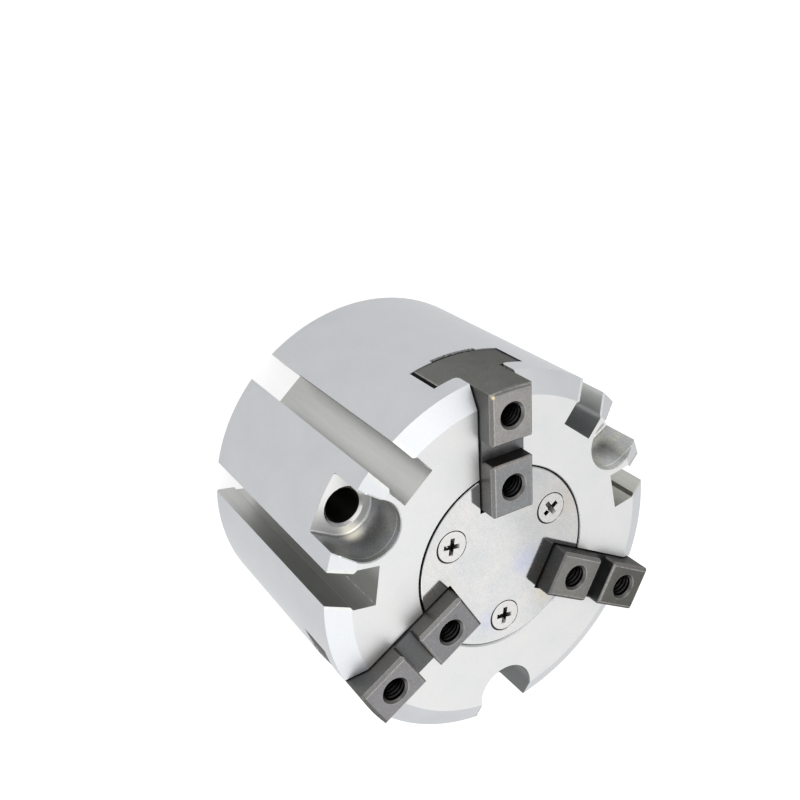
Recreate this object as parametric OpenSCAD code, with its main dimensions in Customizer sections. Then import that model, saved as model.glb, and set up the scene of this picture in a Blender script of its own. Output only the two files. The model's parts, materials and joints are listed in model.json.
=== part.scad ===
// Three-jaw centric gripper, pneumatic, wedge-cam driven.
// Frame: origin at the centre of the rear mounting face, +Z out through the jaws.
// Jaws lie at 90, 210 and 330 degrees; they are drawn closed, with the piston at the rear.

/* [Body] */
// Outer diameter of the body
body_d = 70; // [69:0.5:76]
// Length of the body between its rear and front faces
body_h = 49; // [45:0.5:56]
// Length of the front chamfer along the axis
front_chamfer_h = 2.1; // [0.5:0.1:3]
// Width of the front chamfer across the front face
front_chamfer_w = 4.1; // [1:0.1:4.5]
// Chamfer on the rear edge of the body
rear_chamfer = 0.5; // [0.2:0.1:1]
// Wall between the cam chamber and the piston bore
bulkhead_t = 3.8; // [3.4:0.1:4.8]

/* [Mounting] */
// Pitch circle diameter of the three mounting bolts
mount_pcd = 60; // [59:0.5:61]
// Diameter of the through holes for the mounting bolts
mount_hole_d = 6.6; // [5.5:0.1:6.8]
// Diameter of the pocket that takes a bolt head
pocket_d = 11; // [10:0.5:12]
// Depth of the pocket below the front face
pocket_depth = 9.8; // [6:0.2:14]
// Fillet between the pocket's wall and its floor
pocket_fillet = 0.4; // [0.2:0.1:0.8]
// Chamfer around the pocket's rim
pocket_edge = 0.2; // [0.1:0.05:0.6]
// Diameter of the locating pin hole in the rear face
pin_hole_d = 4; // [3:0.5:5]
// Depth of the locating pin hole
pin_hole_depth = 6; // [4:0.5:8]

/* [Switch grooves] */
// Width of the mouth of a switch groove
groove_neck_w = 6.2; // [5:0.1:6.6]
// Width of the wide inner part of a switch groove
groove_w = 7.4; // [7:0.1:8]
// Radius of the floor of a switch groove
groove_floor_r = 26.1; // [26:0.1:27.5]
// Radius where the wide part of a groove ends
groove_wide_r = 30.4; // [29:0.1:31]
// Angle between a mounting bolt and the groove beside it
groove_offset = 20; // [19:0.5:22]

/* [Air ports] */
// Tapping diameter of the air ports
port_d = 4.2; // [3:0.1:5]
// Depth of the tapped part of an air port
port_depth = 6; // [4:0.5:7]
// Diameter of the passage from a port to the bore
passage_d = 2; // [1:0.1:2]
// Angle between the ports and the mounting bolt between them
port_offset = 20; // [18:0.5:24]

/* [Jaw guides] */
// Width of the slot that a jaw's stem stands in
neck_w = 9.3; // [9.2:0.1:10]
// Width of the T-slot that guides a jaw's flange
slot_w = 18.6; // [17.6:0.1:19]
// Thickness of the lip over the T-slot
lip_t = 5.8; // [5.2:0.1:6.4]
// Height of the T-slot
slot_h = 7.9; // [7.4:0.1:8.2]
// Rounding of the lip's inner edge
lip_round = 0.9; // [0.4:0.1:1.2]
// Depth of the relief along the middle of the slot's floor
relief_depth = 0.75; // [0.2:0.05:1]

/* [Jaws] */
// Width of a jaw's block and stem
jaw_w = 8.8; // [8:0.1:9]
// Height that a jaw stands above the front face
jaw_rise = 3.6; // [3:0.1:6]
// Radius of a jaw's inner end when closed
jaw_inner_r = 11; // [11:0.1:12]
// Gap between a closed jaw's outer end and the body's surface
jaw_end_gap = 0.2; // [0:0.1:1]
// Radius of the inner wall of the cross keyway
key_r = 21; // [20.4:0.1:22]
// Width of the cross keyway
key_w = 3.7; // [3:0.1:4]
// Height of the keyway's floor above the front face
key_floor = 0.6; // [0.4:0.1:2]
// Radius of the inner threaded hole
jaw_hole_r = 16; // [15.5:0.1:16.5]
// Distance between a jaw's two threaded holes
jaw_hole_pitch = 13.6; // [13:0.1:14]
// Tapping diameter of the jaw holes
jaw_hole_d = 4.2; // [3.3:0.1:4.2]
// Depth of the jaw holes
jaw_hole_depth = 9.5; // [7:0.5:11]
// Chamfer across the ends of a jaw's block and along its keyway
jaw_chamfer = 0.35; // [0.1:0.05:0.5]
// Chamfer along the sides of a jaw's block
jaw_side_chamfer = 0.6; // [0.2:0.05:0.8]
// Chamfer on the corners of a jaw's block, seen from the front
jaw_corner = 0.4; // [0.1:0.05:0.6]
// Chamfer along the edges of a jaw's flange
flange_chamfer = 0.5; // [0.1:0.1:0.8]
// Travel of each jaw
jaw_stroke = 6; // [5.6:0.1:6]

/* [Cover plate] */
// Diameter of the cover plate
plate_d = 35; // [34.8:0.1:36]
// Thickness of the cover plate
plate_t = 2.5; // [2.2:0.1:2.8]
// Pitch circle diameter of the cover screws
screw_pcd = 25; // [24:0.5:26]
// Thread core diameter of the cover screws
screw_d = 2.5; // [2:0.1:2.6]
// Diameter of a cover screw's flat head
screw_head_d = 6; // [5:0.1:6.2]
// Length of a cover screw
screw_len = 5; // [4.5:0.1:5.2]
// Width of the bars of a cover screw's cross recess
recess_bar_w = 0.9; // [0.6:0.1:1.1]
// Length of the bars of a cover screw's cross recess
recess_len = 3.3; // [2.4:0.1:3.6]
// Depth of a cover screw's cross recess
recess_depth = 1.4; // [0.8:0.1:1.6]

/* [Wedge cam] */
// Angle of the wedge faces from the axis
wedge_angle = 45; // [44:1:45]
// Length of the cam along the axis
cam_h = 11.1; // [10.9:0.1:11.2]
// Distance from the axis to a wedge face at the cam's front end
cam_top_r = 5.9; // [5.8:0.1:6]
// Length of the wedge faces along the axis
wedge_h = 9.2; // [9:0.1:9.4]
// Width of the cam's arms
cam_arm_w = 14.4; // [13:0.2:14.8]
// Width of the hook slot's mouth
hook_neck_w = 5.4; // [4:0.1:6]
// Width of the hook slot's wide part
hook_head_w = 9.2; // [7:0.1:9.4]
// Thickness of the cam over the hook slot's wide part
hook_neck_t = 1.5; // [1.3:0.1:1.6]
// Height of the hook slot's wide part
hook_head_t = 1.8; // [1.5:0.1:1.9]

/* [Piston] */
// Diameter of the piston bore
bore_d = 46; // [44:0.5:46.4]
// Diameter of the piston rod
rod_d = 14; // [13:0.5:15]
// Width of the piston seal's groove
seal_groove_w = 2; // [1.6:0.1:2.4]
// Width of the magnet's groove
magnet_groove_w = 1.8; // [1.4:0.1:2.2]
// Width of the wear ring's groove
wear_groove_w = 1.4; // [1.2:0.1:1.8]
// Depth of the piston's three grooves
piston_groove_depth = 2.6; // [2:0.1:3]
// Height of the reduced rim at each end of the piston
piston_rim_h = 0.3; // [0.2:0.1:1]
// Depth of the reduced rim
piston_rim_depth = 1.5; // [1:0.1:2]
// Core diameter of the piston bolt's thread
bolt_d = 4.2; // [4:0.1:5]
// Diameter of the piston bolt's head
bolt_head_d = 8.5; // [7.5:0.1:9]
// Height of the piston bolt's head
bolt_head_h = 5; // [4:0.1:5.5]
// Distance from the piston's rear face to the bolt's head
bolt_recess = 0.5; // [0.2:0.1:1.5]
// Length of thread that the bolt has in the cam
bolt_grip = 6.3; // [5:0.1:6.5]

/* [Rear cap] */
// Diameter of the rear cap's seat
cap_seat_d = 48; // [47.4:0.1:48.4]
// Thickness of the rear cap
cap_t = 4; // [3.8:0.1:5]
// Width of the raised rim on the rear cap
cap_rim_w = 6.7; // [5:0.1:9]
// Thickness of the retaining ring
ring_t = 1.75; // [1.5:0.05:2]
// Distance from the rear face to the retaining ring
ring_inset = 1.6; // [1.4:0.1:1.8]
// Depth of the retaining ring's groove
ring_groove_depth = 1.25; // [1:0.05:1.3]
// Width of the retaining ring opposite its gap
ring_w = 4.1; // [3.4:0.1:4.4]
// Radius of the retaining ring's lugs
ring_lug_r = 2.4; // [2:0.1:2.6]
// Diameter of the pliers holes in the lugs
ring_hole_d = 2; // [1.5:0.1:2.2]
// Section diameter of the cap's gasket
gasket_d = 1.8; // [1.5:0.1:1.9]
// Distance from the piston rod to the end bumpers
bumper_offset = 6.5; // [5:0.5:8]
// Width of the end bumpers
bumper_w = 4; // [3:0.5:5]
// Thickness of the end bumpers
bumper_t = 1.5; // [1.3:0.1:1.6]
// Height that a bumper stands out of its recess
bumper_proud = 0.3; // [0.2:0.05:0.4]

/* [Clearances] */
// Gap around a running or sliding fit
run_gap = 0.05; // [0.03:0.01:0.08]
// Gap around a part that is laid in its groove or seat
seat_gap = 0.05; // [0.03:0.01:0.08]
// Gap beside a jaw's flange in its slot
flange_gap = 0.2; // [0.1:0.05:0.3]
// Gap between the cam and the walls around it
cam_gap = 0.3; // [0.2:0.05:0.4]
// Gap around a jaw's hook in the cam's slot
hook_gap = 0.1; // [0.05:0.01:0.15]
// Gap around the cover plate
plate_gap = 0.15; // [0.1:0.05:0.2]
// Gap between a screw's core and its tapped hole
thread_gap = 0.02; // [0.01:0.01:0.05]

/* [Hidden] */
$fn = 96;

// How far neighbouring shapes run into each other, and how far a cut runs past a face.
eps = 0.01;
over = 1;

JAW_ANGLES = [90, 210, 330];
MOUNT_ANGLES = [30, 150, 270];
GROOVE_ANGLES = [30 - groove_offset, 30 + groove_offset, 150 - groove_offset, 150 + groove_offset];
SCREW_TURNS = [32, -10, -10];

body_r = body_d / 2;
bore_r = bore_d / 2;
cap_seat_r = cap_seat_d / 2;
rod_r = rod_d / 2;

// The wedge turns the piston's stroke into the jaws' stroke.
piston_stroke = jaw_stroke / tan(wedge_angle);

// Heights, worked out from the front face towards the rear.
plate_z = body_h - plate_t;
pocket_z = body_h - pocket_depth;
slot_top = body_h - lip_t;
slot_floor = slot_top - slot_h;
cam_top = plate_z - cam_gap - piston_stroke;
cam_bottom = cam_top - cam_h;
bulkhead_top = cam_bottom - cam_gap;
bulkhead_bottom = bulkhead_top - bulkhead_t;
piston_top = bulkhead_bottom - bumper_proud - run_gap - piston_stroke;
cap_bottom = ring_inset + ring_t;
cap_top = cap_bottom + cap_t;
piston_bottom = cap_top + bumper_proud + run_gap;

// The piston fills the length of bore that the stroke and the end bumpers leave.
piston_t = piston_top - piston_bottom;

// Cam: the arms reach as far as the wedge faces take them.
cam_r = cam_top_r + wedge_h * tan(wedge_angle);
cam_tilt = 90 - wedge_angle;
hook_start = 0.8;
hook_len = 3.7;

// Jaw: the flange reaches in under the cover plate as far as its neighbours allow.
neighbour_gap = 1.15;
flange_w = slot_w - 2 * flange_gap;
flange_inner_r = flange_w / 2 / tan(60) + neighbour_gap;
flange_bottom = slot_floor + run_gap;
flange_top = slot_top - run_gap;
jaw_top = body_h + jaw_rise;
jaw_outer_r = body_r - jaw_end_gap;
key_z = body_h + key_floor;

// Piston: three grooves with equal lands between the rims.
piston_gap = 0.2;
piston_r = bore_r - piston_gap;
land_h = (piston_t - 2 * piston_rim_h - seal_groove_w - magnet_groove_w - wear_groove_w) / 4;
wear_z = piston_bottom + piston_rim_h + land_h;
magnet_z = wear_z + wear_groove_w + land_h;
seal_z = magnet_z + magnet_groove_w + land_h;
piston_groove_r = piston_r - piston_groove_depth;

// Piston bolt: its tip sits in the cam, its head in the piston's counterbore.
bolt_r = bolt_d / 2;
bolt_hole_r = bolt_r + 0.55;
bolt_head_r = bolt_head_d / 2;
washer_t = 0.8;
counterbore_r = bolt_head_r + 0.35;
bolt_seat = piston_bottom + bolt_recess + bolt_head_h;
bolt_len = cam_bottom + bolt_grip - bolt_seat;
counterbore_top = bolt_seat + washer_t;
bolt_seal_section = 1.4;
bolt_seal_r = bolt_hole_r + bolt_seal_section / 2 + 0.6;

// Rod seal, in the bulkhead.
rod_seal_h = 2.4;
rod_seal_w = 2.1;
rod_seal_z = bulkhead_bottom + (bulkhead_t - rod_seal_h) / 2;

// Bumpers: the same size at both ends of the bore.
bumper_inner_r = rod_r + bumper_offset;
bumper_outer_r = bumper_inner_r + bumper_w;
bumper_seat = bumper_t - bumper_proud;

// Cover plate.
plate_r = plate_d / 2;
plate_slot_r = jaw_inner_r - 0.4;
screw_hole_depth = screw_len - plate_t + 0.5;

// Retaining ring: it springs out into its groove, and its gap lies between the two lugs.
ring_groove_r = cap_seat_r + ring_groove_depth;
ring_outer_r = ring_groove_r - 0.15;
ring_taper = 0.7;
ring_gap_angle = 8;
ring_lug_angle = 10;

// Places children at each angle around the axis.
module around(angles) {
    for (a = angles) rotate(a) children();
}

// Closed ring of rectangular section.
module ring(inner, outer, z, h) {
    rotate_extrude() translate([inner, z]) square([outer - inner, h]);
}

// Ring of round section, an O-ring.
module o_ring(centre_r, section_d, z) {
    rotate_extrude() translate([centre_r, z]) circle(d = section_d, $fn = 32);
}

// Drilled hole along -Z from z, with a cone at its bottom and a chamfer at its mouth.
module blind_hole(r, depth, z, mouth = 0) {
    tip = r * 0.55;
    translate([0, 0, z - depth]) cylinder(r = r, h = depth + over);
    translate([0, 0, z - depth - tip]) cylinder(r1 = 0, r2 = r, h = tip + eps);
    translate([0, 0, z - mouth]) cylinder(r1 = r, r2 = r + mouth + over, h = mouth + over);
}

// Points of an arc with radius r about c, from angle a to angle b.
function arc(c, r, a, b, n = 6) =
    [for (i = [0:n]) c + r * [cos(a + (b - a) * i / n), sin(a + (b - a) * i / n)]];

// The points of a half section, mirrored and in reverse order.
function mirrored(points) = [for (i = [len(points) - 1:-1:0]) [-points[i][0], points[i][1]]];

// Lays a profile drawn in (radius, height) along X, with the given width across.
module upright(width) {
    translate([0, width / 2, 0]) rotate([90, 0, 0]) linear_extrude(width) children();
}

// Lays a profile drawn in (across, height) along X, from radius a to radius b.
module along_radius(a, b) {
    translate([a, 0, 0]) rotate([90, 0, 90]) linear_extrude(b - a) children();
}

// Body

module body_blank() {
    r = body_r;
    rotate_extrude(convexity = 4) polygon([
        [0, 0], [r - rear_chamfer, 0], [r, rear_chamfer], [r, body_h - front_chamfer_h],
        [r - front_chamfer_w, body_h], [0, body_h]]);
}

// One half of the T-slot's section: neck, rounded lip, wide part and floor relief.
function t_slot_half() = let (n = neck_w / 2, w = slot_w / 2, c = lip_round) concat(
    [[n, body_h + over]],
    arc([n + c, slot_top + c], c, 180, 270),
    [[w, slot_top], [w, slot_floor], [n, slot_floor], [n, slot_floor - relief_depth]]);

module t_slot() {
    half = t_slot_half();
    along_radius(0, body_r + over) polygon(concat(half, mirrored(half)));
}

module cam_chamber_arm() {
    w = cam_arm_w + 2 * cam_gap;
    translate([0, -w / 2, bulkhead_top]) cube([cam_r + cam_gap, w, plate_z - bulkhead_top + eps]);
}

module plate_seat() {
    edge = 0.3;
    r = plate_r + plate_gap;
    translate([0, 0, plate_z]) cylinder(r = r, h = plate_t + over);
    translate([0, 0, body_h - edge]) cylinder(r1 = r, r2 = r + edge + over, h = edge + over);
}

// One half of a bolt pocket's section: filleted floor, straight wall and chamfered rim.
function pocket_half() = let (r = pocket_d / 2, f = pocket_fillet, e = pocket_edge) concat(
    arc([r - f, pocket_z + f], f, -90, 0, 4),
    [[r, body_h - e], [r + e + over, body_h + over]]);

// Bolt pocket, round at its inner end and open at the body's side, over its through hole.
module mounting_pocket() {
    edge = 0.5;
    half = pocket_half();
    r = mount_hole_d / 2;
    translate([mount_pcd / 2, 0, 0]) {
        rotate_extrude() polygon(concat([[0, pocket_z]], half, [[0, body_h + over]]));
        along_radius(0, body_r) polygon(concat(half, mirrored(half)));
        translate([0, 0, -over]) cylinder(r = r, h = body_h);
        translate([0, 0, pocket_z - edge]) cylinder(r1 = r, r2 = r + edge + eps, h = edge + eps);
    }
}

module switch_groove() {
    n = groove_neck_w / 2;
    w = groove_w / 2;
    mouth_r = groove_wide_r + w - n;
    outside = body_r + over;
    translate([0, 0, -over]) linear_extrude(body_h + 2 * over) polygon([
        [groove_floor_r, -w], [groove_wide_r, -w], [mouth_r, -n], [outside, -n],
        [outside, n], [mouth_r, n], [groove_wide_r, w], [groove_floor_r, w]]);
}

// Tapped hole in the body's side, with a passage from its bottom to the bore.
module air_port(z) {
    edge = 0.5;
    r = port_d / 2;
    translate([body_r, 0, z]) rotate([0, 90, 0]) {
        translate([0, 0, -port_depth]) cylinder(r = r, h = port_depth + over);
        translate([0, 0, -edge]) cylinder(r1 = r, r2 = r + edge + over, h = edge + over);
    }
    translate([bore_r - over, 0, z]) rotate([0, 90, 0]) cylinder(d = passage_d, h = body_r - bore_r);
}

// Everything turned about the axis: cap seat, ring groove, piston bore, rod bore and grooves.
module turned_cavities() {
    edge = 0.5;
    translate([0, 0, -over]) cylinder(r = cap_seat_r, h = cap_top + over);
    translate([0, 0, -eps]) cylinder(r1 = cap_seat_r + edge, r2 = cap_seat_r, h = edge);
    ring(cap_seat_r - over, ring_groove_r, ring_inset - seat_gap, ring_t + seat_gap);
    translate([0, 0, cap_top - eps]) cylinder(r = bore_r, h = bulkhead_bottom - cap_top + eps);
    ring(bumper_inner_r - seat_gap, bumper_outer_r + seat_gap, bulkhead_bottom - eps, bumper_seat + eps);
    translate([0, 0, bulkhead_bottom - over]) cylinder(r = rod_r + run_gap, h = bulkhead_t + 2 * over);
    ring(rod_r, rod_r + rod_seal_w + 2 * seat_gap, rod_seal_z - seat_gap, rod_seal_h + 2 * seat_gap);
}

module body() {
    color("gainsboro") difference() {
        body_blank();
        around(JAW_ANGLES) t_slot();
        around(JAW_ANGLES) cam_chamber_arm();
        plate_seat();
        around(MOUNT_ANGLES) mounting_pocket();
        around(MOUNT_ANGLES) translate([screw_pcd / 2, 0, 0])
            blind_hole(screw_d / 2 + thread_gap, screw_hole_depth, plate_z);
        around(GROOVE_ANGLES) switch_groove();
        turned_cavities();
        rotate(270 - port_offset) air_port(cap_top + passage_d / 2);
        rotate(270 + port_offset) air_port(bulkhead_bottom - passage_d / 2);
        rotate(90) translate([mount_pcd / 2, 0, 0]) mirror([0, 0, 1])
            blind_hole(pin_hole_d / 2, pin_hole_depth, 0, 0.3);
    }
}

// Cover plate and its screws

module cover_plate() {
    edge = 0.2;
    head_r = screw_head_d / 2 + 0.15;
    hole_r = screw_d / 2 + 0.35;
    sink = head_r - hole_r;
    color("lightslategray") difference() {
        rotate_extrude() polygon([
            [0, plate_z], [plate_r, plate_z], [plate_r, body_h - edge],
            [plate_r - edge, body_h], [0, body_h]]);
        around(JAW_ANGLES) translate([plate_slot_r, -neck_w / 2, plate_z - over])
            cube([plate_r, neck_w, plate_t + 2 * over]);
        around(MOUNT_ANGLES) translate([screw_pcd / 2, 0, 0]) {
            translate([0, 0, plate_z - over]) cylinder(r = hole_r, h = plate_t + 2 * over);
            translate([0, 0, body_h - sink]) cylinder(r1 = hole_r, r2 = head_r + over, h = sink + over);
        }
    }
}

// Cross recess of a screw, narrowing towards its bottom.
module cross_recess() {
    bottom = recess_len / 4;
    for (a = [0, 90]) rotate(a) upright(recess_bar_w) polygon([
        [-recess_len / 2, over], [-recess_len / 2, 0], [-bottom, -recess_depth],
        [bottom, -recess_depth], [recess_len / 2, 0], [recess_len / 2, over]]);
}

// Countersunk screw; each was tightened to an angle of its own.
module cover_screw(i) {
    head_r = screw_head_d / 2;
    core_r = screw_d / 2;
    rim = 0.1;
    tip = 0.3;
    color("silver") rotate(MOUNT_ANGLES[i]) translate([screw_pcd / 2, 0, body_h]) difference() {
        rotate_extrude() polygon([
            [0, 0], [head_r, 0], [head_r, -rim], [core_r, -rim - (head_r - core_r)],
            [core_r, -screw_len + tip], [core_r - tip, -screw_len], [0, -screw_len]]);
        rotate(SCREW_TURNS[i] - MOUNT_ANGLES[i]) cross_recess();
    }
}

module cover_screw_a() { cover_screw(0); }
module cover_screw_b() { cover_screw(1); }
module cover_screw_c() { cover_screw(2); }

// Jaws

// Lays children on a wedge face at the cam's front end: X runs down the slope, Z out of it.
module on_wedge() {
    translate([cam_top_r, 0, cam_top]) rotate([0, cam_tilt, 0]) children();
}

// Side view of a jaw's block and stem, with the cross keyway.
function block_side() = let (c = jaw_chamfer, k = key_r + key_w, o = jaw_outer_r) [
    [jaw_inner_r, flange_top - eps], [jaw_inner_r, jaw_top - c], [jaw_inner_r + c, jaw_top],
    [key_r - c, jaw_top], [key_r, jaw_top - c], [key_r, key_z], [k, key_z],
    [k, jaw_top - c], [k + c, jaw_top], [o - 2 * c, jaw_top], [o, jaw_top - 2 * c],
    [o, flange_top - eps]];

// Section across a jaw's block and stem.
function block_section() = let (w = jaw_w / 2, c = jaw_side_chamfer) [
    [-w, flange_top - eps], [w, flange_top - eps], [w, jaw_top - c], [w - c, jaw_top],
    [-w + c, jaw_top], [-w, jaw_top - c]];

// Side view of the flange: its inner end lies along the cam's wedge face.
function flange_side() = let (
    gap = hook_gap / cos(wedge_angle),
    i = flange_inner_r,
    low_r = cam_top_r + gap + (cam_top - flange_bottom) * tan(wedge_angle),
    knee_z = cam_top - (i - cam_top_r - gap) / tan(wedge_angle)) [
    [low_r, flange_bottom], [i, knee_z], [i, flange_top],
    [body_r, flange_top], [body_r, flange_bottom]];

// Section across a jaw's flange.
function flange_section() = let (w = flange_w / 2, c = flange_chamfer) [
    [-w + c, flange_bottom], [w - c, flange_bottom], [w, flange_bottom + c], [w, flange_top - c],
    [w - c, flange_top], [-w + c, flange_top], [-w, flange_top - c], [-w, flange_bottom + c]];

// Block between two radii and two heights, with its four upright corners chamfered.
module chamfered_block(a, b, bottom, top) {
    w = jaw_w / 2;
    c = jaw_corner;
    translate([0, 0, bottom]) linear_extrude(top - bottom) polygon([
        [a + c, -w], [b - c, -w], [b, -w + c], [b, w - c],
        [b - c, w], [a + c, w], [a, w - c], [a, -w + c]]);
}

module jaw_block() {
    intersection() {
        upright(jaw_w) polygon(block_side());
        along_radius(0, body_r) polygon(block_section());
        union() {
            chamfered_block(jaw_inner_r, jaw_outer_r, flange_top - eps, key_z);
            chamfered_block(jaw_inner_r, key_r, key_z - eps, jaw_top);
            chamfered_block(key_r + key_w, jaw_outer_r, key_z - eps, jaw_top);
        }
    }
}

module jaw_flange() {
    intersection() {
        upright(flange_w) polygon(flange_side());
        along_radius(0, body_r) polygon(flange_section());
    }
}

// Hook that runs in the cam's inclined T-slot.
module jaw_hook() {
    neck = hook_neck_w - 2 * hook_gap;
    head = hook_head_w - 2 * hook_gap;
    depth = hook_neck_t + hook_head_t - hook_gap;
    on_wedge() {
        translate([hook_start, -neck / 2, -depth]) cube([hook_len, neck, depth + 2 * hook_gap]);
        translate([hook_start, -head / 2, -depth]) cube([hook_len, head, hook_head_t - 2 * hook_gap]);
    }
}

module jaw(angle) {
    color("dimgray") rotate(angle) difference() {
        union() {
            intersection() {
                union() {
                    jaw_block();
                    jaw_flange();
                }
                cylinder(r = jaw_outer_r, h = jaw_top + over);
            }
            jaw_hook();
        }
        for (r = [jaw_hole_r, jaw_hole_r + jaw_hole_pitch]) translate([r, 0, 0])
            blind_hole(jaw_hole_d / 2, jaw_hole_depth, jaw_top, 0.5);
    }
}

module jaw_a() { jaw(JAW_ANGLES[0]); }
module jaw_b() { jaw(JAW_ANGLES[1]); }
module jaw_c() { jaw(JAW_ANGLES[2]); }

// Wedge cam

module cam_arm() {
    upright(cam_arm_w) polygon([
        [0, cam_bottom], [cam_r, cam_bottom], [cam_r, cam_top - wedge_h],
        [cam_top_r, cam_top], [0, cam_top]]);
}

module hook_slot() {
    run = wedge_h / cos(wedge_angle) + hook_neck_w;
    depth = hook_neck_t + hook_head_t;
    on_wedge() {
        translate([-depth, -hook_neck_w / 2, -depth]) cube([run + 2 * depth, hook_neck_w, depth + over]);
        translate([-depth, -hook_head_w / 2, -depth]) cube([run + 2 * depth, hook_head_w, hook_head_t]);
    }
}

module wedge_cam() {
    color("slategray") difference() {
        around(JAW_ANGLES) cam_arm();
        around(JAW_ANGLES) hook_slot();
        mirror([0, 0, 1]) blind_hole(bolt_r + thread_gap, bolt_grip + 0.6, -cam_bottom);
    }
}

// Piston and what rides on it

module piston() {
    rim_r = piston_r - piston_rim_depth;
    seal_seat_r = bolt_seal_r + bolt_seal_section / 2 + seat_gap;
    color("lightgray") difference() {
        union() {
            rotate_extrude() polygon([
                [0, piston_bottom], [rim_r, piston_bottom], [rim_r, piston_bottom + piston_rim_h],
                [piston_r, piston_bottom + piston_rim_h], [piston_r, piston_top - piston_rim_h],
                [rim_r, piston_top - piston_rim_h], [rim_r, piston_top], [0, piston_top]]);
            translate([0, 0, piston_bottom]) cylinder(r = rod_r, h = cam_bottom - piston_bottom);
        }
        ring(piston_groove_r, bore_r, wear_z, wear_groove_w);
        ring(piston_groove_r, bore_r, magnet_z, magnet_groove_w);
        ring(piston_groove_r, bore_r, seal_z, seal_groove_w);
        translate([0, 0, piston_bottom - over]) {
            cylinder(r = bolt_hole_r, h = cam_bottom);
            cylinder(r = counterbore_r, h = counterbore_top - piston_bottom + over);
        }
        ring(bolt_seal_r - bolt_seal_section / 2 - seat_gap, seal_seat_r,
            cam_bottom - bolt_seal_section - seat_gap, bolt_seal_section + over);
    }
}

// Socket head screw, head towards the rear.
module piston_bolt() {
    socket_w = 4;
    color("darkslategray") difference() {
        union() {
            translate([0, 0, bolt_seat - bolt_head_h]) cylinder(r = bolt_head_r, h = bolt_head_h);
            translate([0, 0, bolt_seat - eps]) cylinder(r = bolt_r, h = bolt_len + eps);
        }
        translate([0, 0, bolt_seat - bolt_head_h - over])
            cylinder(d = socket_w / cos(30), h = bolt_head_h / 2 + over, $fn = 6);
    }
}

module bolt_washer() {
    color("silver") ring(bolt_r + 0.2, bolt_head_r + 0.15, bolt_seat, washer_t);
}

module bolt_seal() {
    section = bolt_seal_section;
    color("black") o_ring(bolt_seal_r, section, cam_bottom - (section + seat_gap) / 2);
}

// Double-lipped seal: a cross-shaped section with a waist.
module piston_seal() {
    inner = piston_groove_r + seat_gap;
    outer = bore_r - run_gap;
    bottom = seal_z + seat_gap;
    top = seal_z + seal_groove_w - seat_gap;
    middle = (inner + outer) / 2;
    waist = 0.3;
    color("black") rotate_extrude() polygon([
        [inner, bottom], [middle, bottom + waist], [outer, bottom], [outer - waist, (bottom + top) / 2],
        [outer, top], [middle, top - waist], [inner, top], [inner + waist, (bottom + top) / 2]]);
}

module magnet_ring() {
    color("darkslategray") ring(piston_groove_r + seat_gap, piston_r - 0.3,
        magnet_z + seat_gap, magnet_groove_w - 2 * seat_gap);
}

module wear_ring() {
    wear_ring_t = 1.6;
    color("tan") ring(bore_r - run_gap - wear_ring_t, bore_r - run_gap,
        wear_z + seat_gap, wear_groove_w - 2 * seat_gap);
}

// Seals and bumpers that stay in the body

// Lip seal: a U section, open towards the piston.
module rod_seal() {
    inner = rod_r + run_gap;
    outer = inner + rod_seal_w - seat_gap;
    top = rod_seal_z + rod_seal_h;
    middle = (inner + outer) / 2;
    lip = 0.6;
    color("black") rotate_extrude() polygon([
        [inner, rod_seal_z], [inner + lip, rod_seal_z], [middle, rod_seal_z + rod_seal_h / 2],
        [outer - lip, rod_seal_z], [outer, rod_seal_z], [outer, top], [inner, top]]);
}

module front_bumper() {
    color("khaki") ring(bumper_inner_r, bumper_outer_r, bulkhead_bottom - bumper_proud, bumper_t);
}

module rear_bumper() {
    color("khaki") ring(bumper_inner_r, bumper_outer_r, cap_top - bumper_seat, bumper_t);
}

// Rear cap, its gasket and its retaining ring

module rear_cap() {
    r = cap_seat_r - seat_gap;
    groove_w = gasket_d + 0.5;
    groove_z = cap_bottom + (cap_t - groove_w) / 2;
    edge = 0.3;
    low = cap_bottom + edge;
    color("gainsboro") difference() {
        rotate_extrude() polygon([
            [0, low], [r - cap_rim_w, low], [r - cap_rim_w + edge, cap_bottom], [r - edge, cap_bottom],
            [r, low], [r, cap_top - edge], [r - edge, cap_top], [0, cap_top]]);
        ring(r - gasket_d - seat_gap, r + over, groove_z, groove_w);
        ring(bumper_inner_r - seat_gap, bumper_outer_r + seat_gap, cap_top - bumper_seat,
            bumper_seat + over);
    }
}

module cap_gasket() {
    color("black") o_ring(cap_seat_r - seat_gap - gasket_d / 2, gasket_d, cap_bottom + cap_t / 2);
}

// Internal retaining ring: widest opposite its gap, with a pliers hole in each lug.
module retaining_ring() {
    inner = ring_outer_r - ring_w + ring_taper;
    lug_place = cap_seat_r - 0.6 - ring_lug_r;
    far = 2 * ring_outer_r;
    side = far * tan(ring_gap_angle / 2);
    color("dimgray") translate([0, 0, ring_inset]) rotate(90) linear_extrude(ring_t) difference() {
        union() {
            difference() {
                circle(r = ring_outer_r);
                translate([ring_taper, 0]) circle(r = inner);
                polygon([[0, 0], [far, -side], [far, side]]);
            }
            for (s = [-1, 1]) rotate(s * ring_lug_angle) translate([lug_place, 0]) circle(r = ring_lug_r);
        }
        for (s = [-1, 1]) rotate(s * ring_lug_angle) translate([lug_place, 0]) circle(d = ring_hole_d);
    }
}

body();
cover_plate();
cover_screw_a();
cover_screw_b();
cover_screw_c();
jaw_a();
jaw_b();
jaw_c();
wedge_cam();
piston();
piston_bolt();
bolt_washer();
bolt_seal();
piston_seal();
magnet_ring();
wear_ring();
rod_seal();
front_bumper();
rear_bumper();
rear_cap();
cap_gasket();
retaining_ring();
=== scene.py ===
"""Three-jaw centric gripper: finishes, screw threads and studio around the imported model.

Lengths are in metres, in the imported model's frame: the rear face lies on z = 0 and the
jaws look along +Z.
"""
import json
import math

import bpy
import numpy as np
from mathutils import Matrix, Vector


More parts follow.
